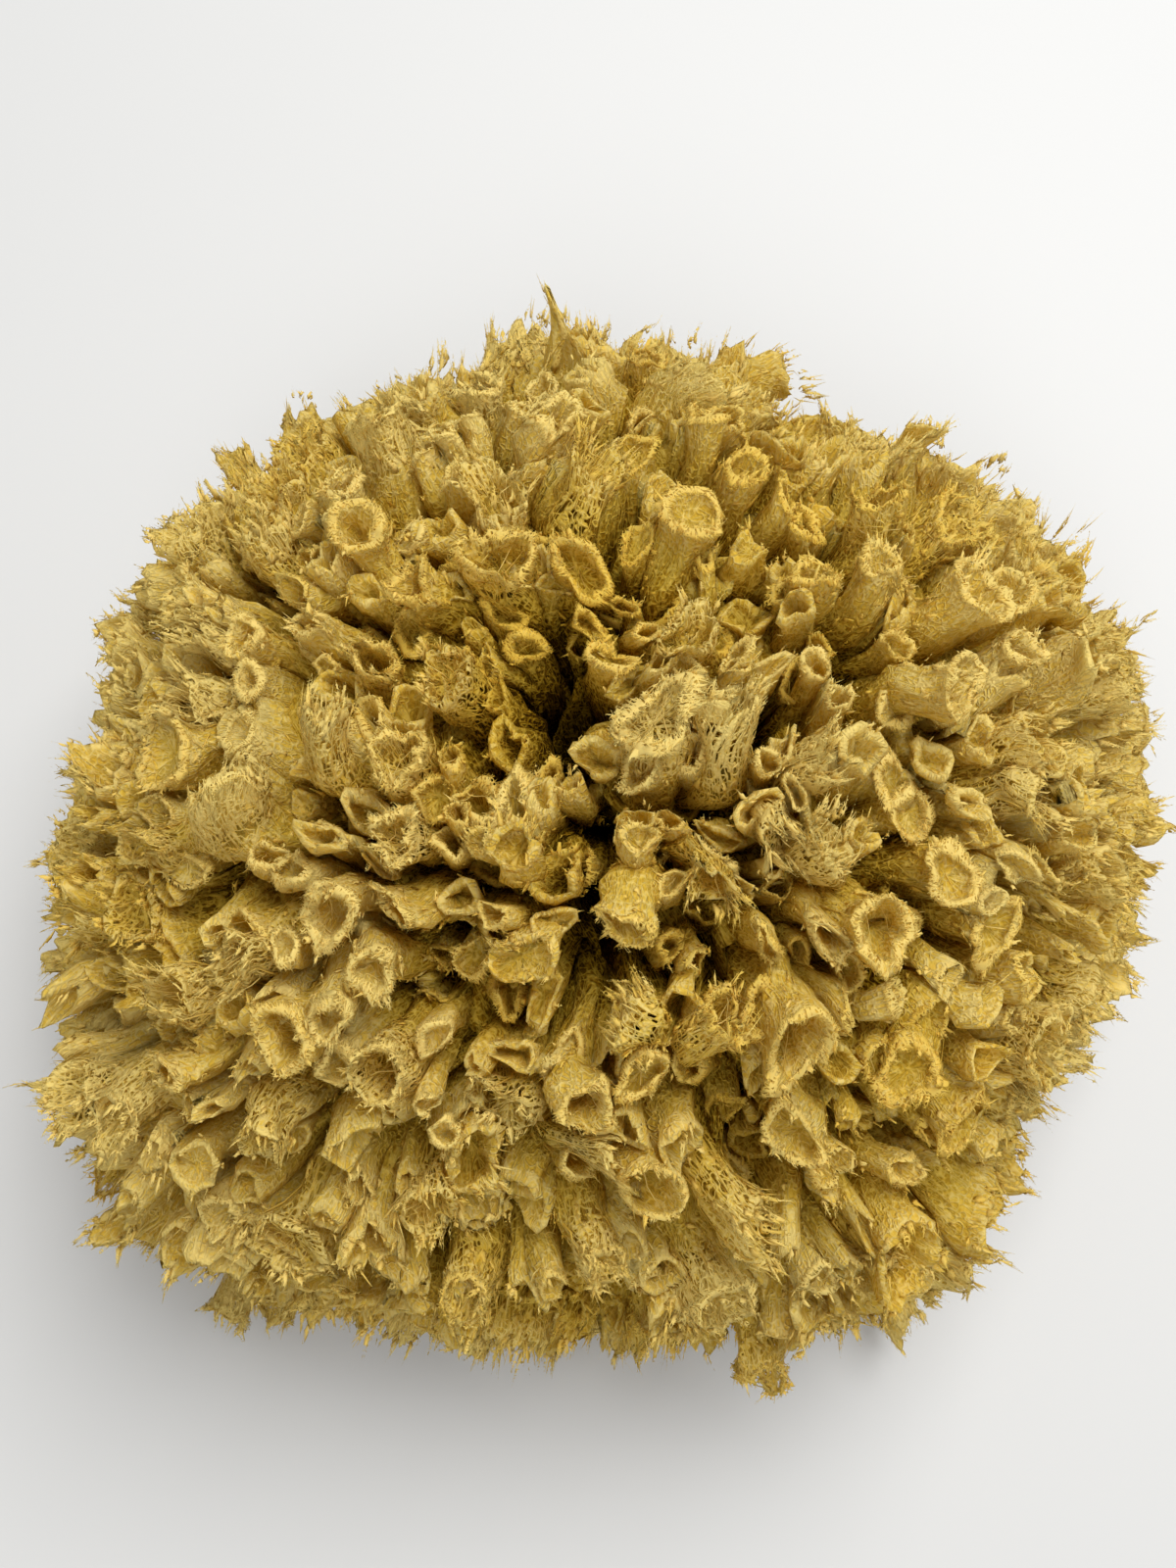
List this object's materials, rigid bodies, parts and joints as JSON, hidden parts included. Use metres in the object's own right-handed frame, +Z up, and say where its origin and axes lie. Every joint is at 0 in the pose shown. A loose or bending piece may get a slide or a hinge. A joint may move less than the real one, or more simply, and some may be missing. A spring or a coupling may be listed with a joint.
{
  "type": "sea sponge",
  "caption": "Natural sea sponge: a lobed dome of hollow fibrous tubes standing out all round, cut off flat underneath so that it rests on a table.",
  "frame": {"origin": "middle of the flat cut that the sponge rests on", "axes": "+Z up out of the cut, +X to the right and +Y to the back as the picture looks down on it"},
  "size_m": [0.17, 0.1643, 0.0892],
  "materials": {
    "spongin": "dry matted golden fibre, paler at the mouths and brown in the depths"
  },
  "bodies": {
    "root": {"sponge": "spongin"}
  },
  "joints": []
}
